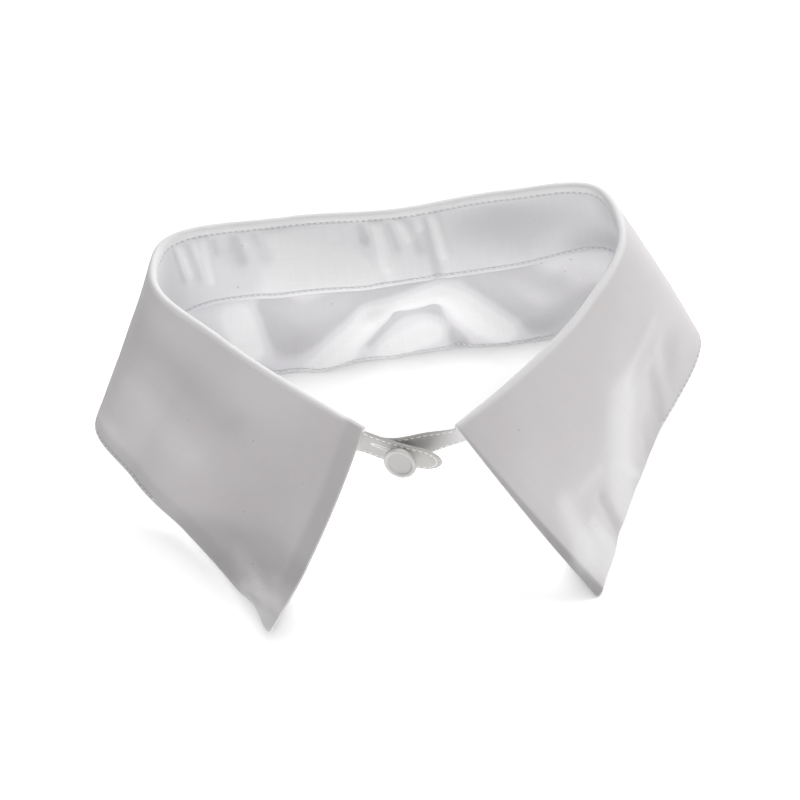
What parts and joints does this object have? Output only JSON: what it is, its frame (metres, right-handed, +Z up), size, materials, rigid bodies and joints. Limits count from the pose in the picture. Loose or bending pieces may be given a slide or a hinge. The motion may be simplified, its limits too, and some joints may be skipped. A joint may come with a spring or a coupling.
{
  "type": "detachable shirt collar",
  "caption": "Turn-down pointed shirt collar on a buttoned stand, with no shirt, for wearing under a jumper or dress.",
  "frame": {"origin": "on the table, under the middle of the collar's bounding box", "axes": "+X from the left leaf to the right leaf as seen from the front, +Y towards the back of the neck, +Z up"},
  "size_m": [0.2151, 0.1304, 0.0716],
  "materials": {
    "cotton": "white woven cotton poplin, pressed",
    "button_plastic": "moulded, satin",
    "thread": "white sewing thread"
  },
  "bodies": {
    "root": {"collar_leaf": "cotton", "collar_stand": "cotton", "button": "button_plastic", "button_thread": "thread"}
  },
  "joints": []
}
